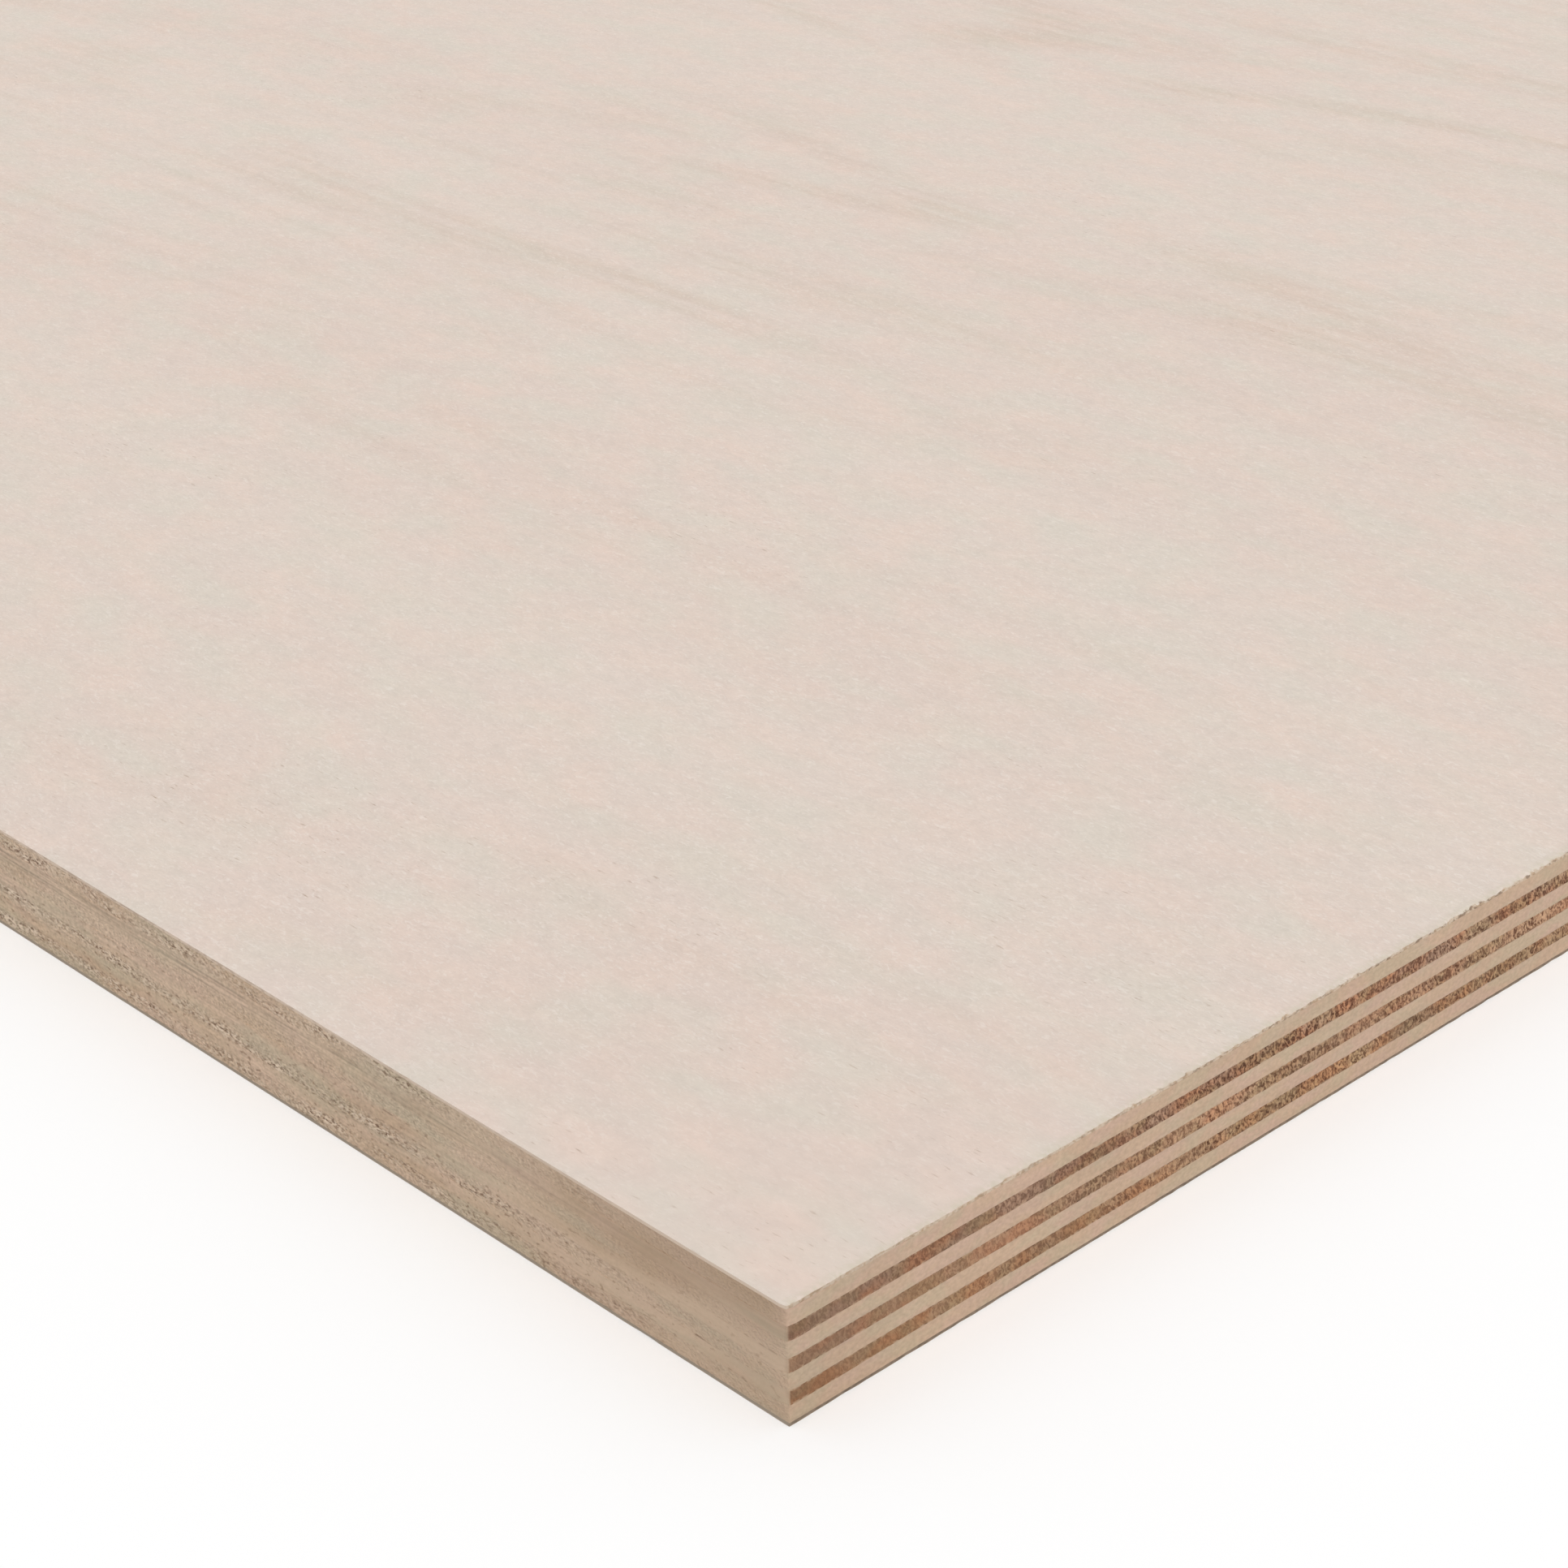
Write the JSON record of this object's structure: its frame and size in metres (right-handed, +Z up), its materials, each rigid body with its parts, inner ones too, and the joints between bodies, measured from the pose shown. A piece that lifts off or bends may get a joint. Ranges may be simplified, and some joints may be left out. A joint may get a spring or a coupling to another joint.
{
  "type": "plywood sheet",
  "caption": "Full-size plywood sheet lying flat: rotary-cut veneers glued with the grain of each across the next, sanded pale faces and square sawn edges that show every ply.",
  "frame": {"origin": "middle of the underside of the sheet", "axes": "+X along the length of the sheet, which is the grain of its outer veneers; +Y across its width; +Z up through its thickness, out of the upper face"},
  "size_m": [2.44, 1.22, 0.018],
  "materials": {
    "face_veneer": "sanded, unfinished",
    "crossband_veneer": "sawn edge, unfinished",
    "core_veneer": "sawn edge, unfinished"
  },
  "bodies": {
    "root": {"face_veneer": "face_veneer", "top_crossband": "crossband_veneer", "upper_core": "core_veneer", "upper_crossband": "crossband_veneer", "middle_core": "core_veneer", "lower_crossband": "crossband_veneer", "lower_core": "core_veneer", "bottom_crossband": "crossband_veneer", "back_veneer": "face_veneer"}
  },
  "joints": []
}
